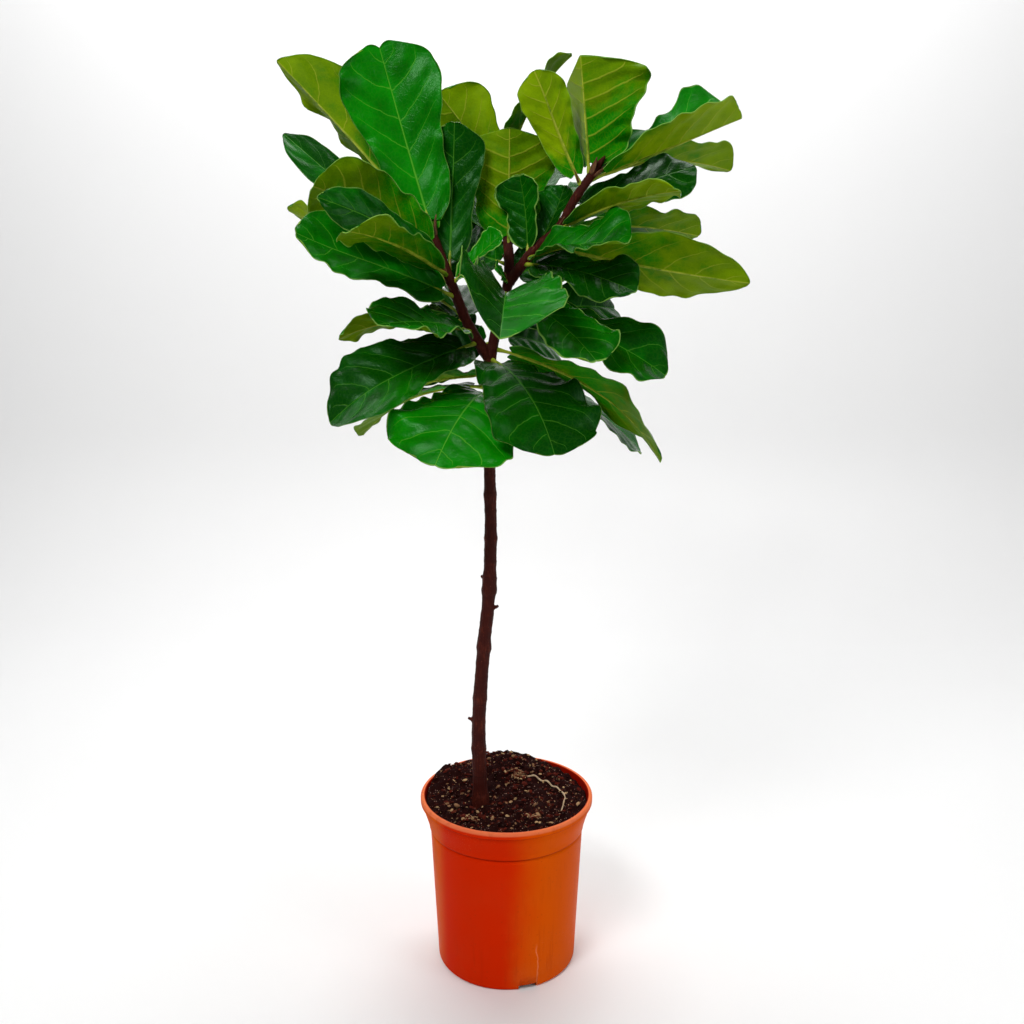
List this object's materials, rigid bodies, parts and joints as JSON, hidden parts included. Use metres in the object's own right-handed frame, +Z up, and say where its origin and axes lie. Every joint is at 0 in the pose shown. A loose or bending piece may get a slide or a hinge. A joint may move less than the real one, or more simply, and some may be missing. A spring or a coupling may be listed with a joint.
{
  "type": "potted fiddle leaf fig",
  "caption": "Potted fiddle leaf fig grown as a small standard tree: one bare trunk, a full crown of large leathery leaves, and a plastic nursery pot filled with potting mix.",
  "frame": {"origin": "middle of the pot's flat underside, on the floor", "axes": "+Z up along the pot, -Y towards the front of the crown as pictured, +X to its right"},
  "size_m": [0.6185, 0.4041, 1.2336],
  "materials": {
    "pot": "satin injection-moulded plastic, scuffed",
    "soil": "rough damp peat and bark",
    "trunk": "rough bark",
    "leaf": "glossy waxy leaf, paler and duller below"
  },
  "bodies": {
    "root": {"pot": "pot", "soil": "soil", "trunk": "trunk", "leaf_left_01": "leaf", "leaf_left_02": "leaf", "leaf_left_03": "leaf", "leaf_left_04": "leaf", "leaf_left_05": "leaf", "leaf_left_06": "leaf", "leaf_left_07": "leaf", "leaf_left_08": "leaf", "leaf_left_09": "leaf", "leaf_left_10": "leaf", "leaf_left_11": "leaf", "leaf_left_12": "leaf", "leaf_left_13": "leaf", "leaf_low_01": "leaf", "leaf_low_02": "leaf", "leaf_low_03": "leaf", "leaf_low_04": "leaf", "leaf_low_05": "leaf", "leaf_low_06": "leaf", "leaf_low_07": "leaf", "leaf_right_01": "leaf", "leaf_right_02": "leaf", "leaf_right_03": "leaf", "leaf_right_04": "leaf", "leaf_right_05": "leaf", "leaf_right_06": "leaf", "leaf_right_07": "leaf", "leaf_right_08": "leaf", "leaf_right_09": "leaf", "leaf_right_10": "leaf", "leaf_right_11": "leaf", "leaf_right_12": "leaf", "leaf_right_13": "leaf", "leaf_right_14": "leaf", "leaf_middle_01": "leaf", "leaf_middle_02": "leaf", "leaf_middle_03": "leaf", "leaf_middle_04": "leaf", "leaf_middle_05": "leaf", "leaf_back_01": "leaf", "leaf_back_02": "leaf", "leaf_back_03": "leaf", "leaf_back_04": "leaf", "leaf_back_05": "leaf", "leaf_back_06": "leaf", "leaf_back_07": "leaf", "leaf_back_08": "leaf", "leaf_back_09": "leaf", "leaf_back_10": "leaf", "leaf_back_11": "leaf"}
  },
  "joints": []
}
